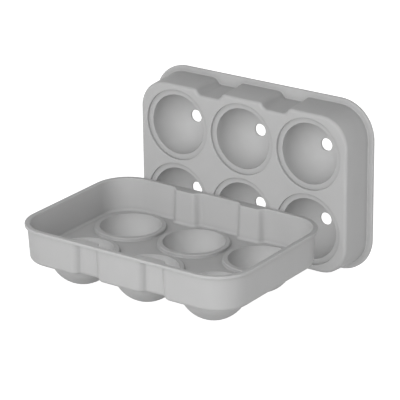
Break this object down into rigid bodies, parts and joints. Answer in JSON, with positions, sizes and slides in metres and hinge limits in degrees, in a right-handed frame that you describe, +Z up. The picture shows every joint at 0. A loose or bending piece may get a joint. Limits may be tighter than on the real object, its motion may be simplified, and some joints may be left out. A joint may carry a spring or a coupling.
{
  "type": "ice ball mold",
  "caption": "Silicone mould for round ice: a deep drafted tray with ringed hemispherical cups, and its lid with domed, holed cavities, taken off and stood behind it.",
  "frame": {"origin": "on the table, under the middle of the bounding box of the tray and the stood-up lid", "axes": "+Z up, X along the long sides of both parts, +Y from the tray towards the lid behind it"},
  "size_m": [0.201, 0.1582, 0.128],
  "materials": {
    "silicone": "matte mid grey silicone rubber, very fine even texture"
  },
  "bodies": {
    "root": {"bottom_tray": "silicone", "top_lid": "silicone"}
  },
  "joints": []
}
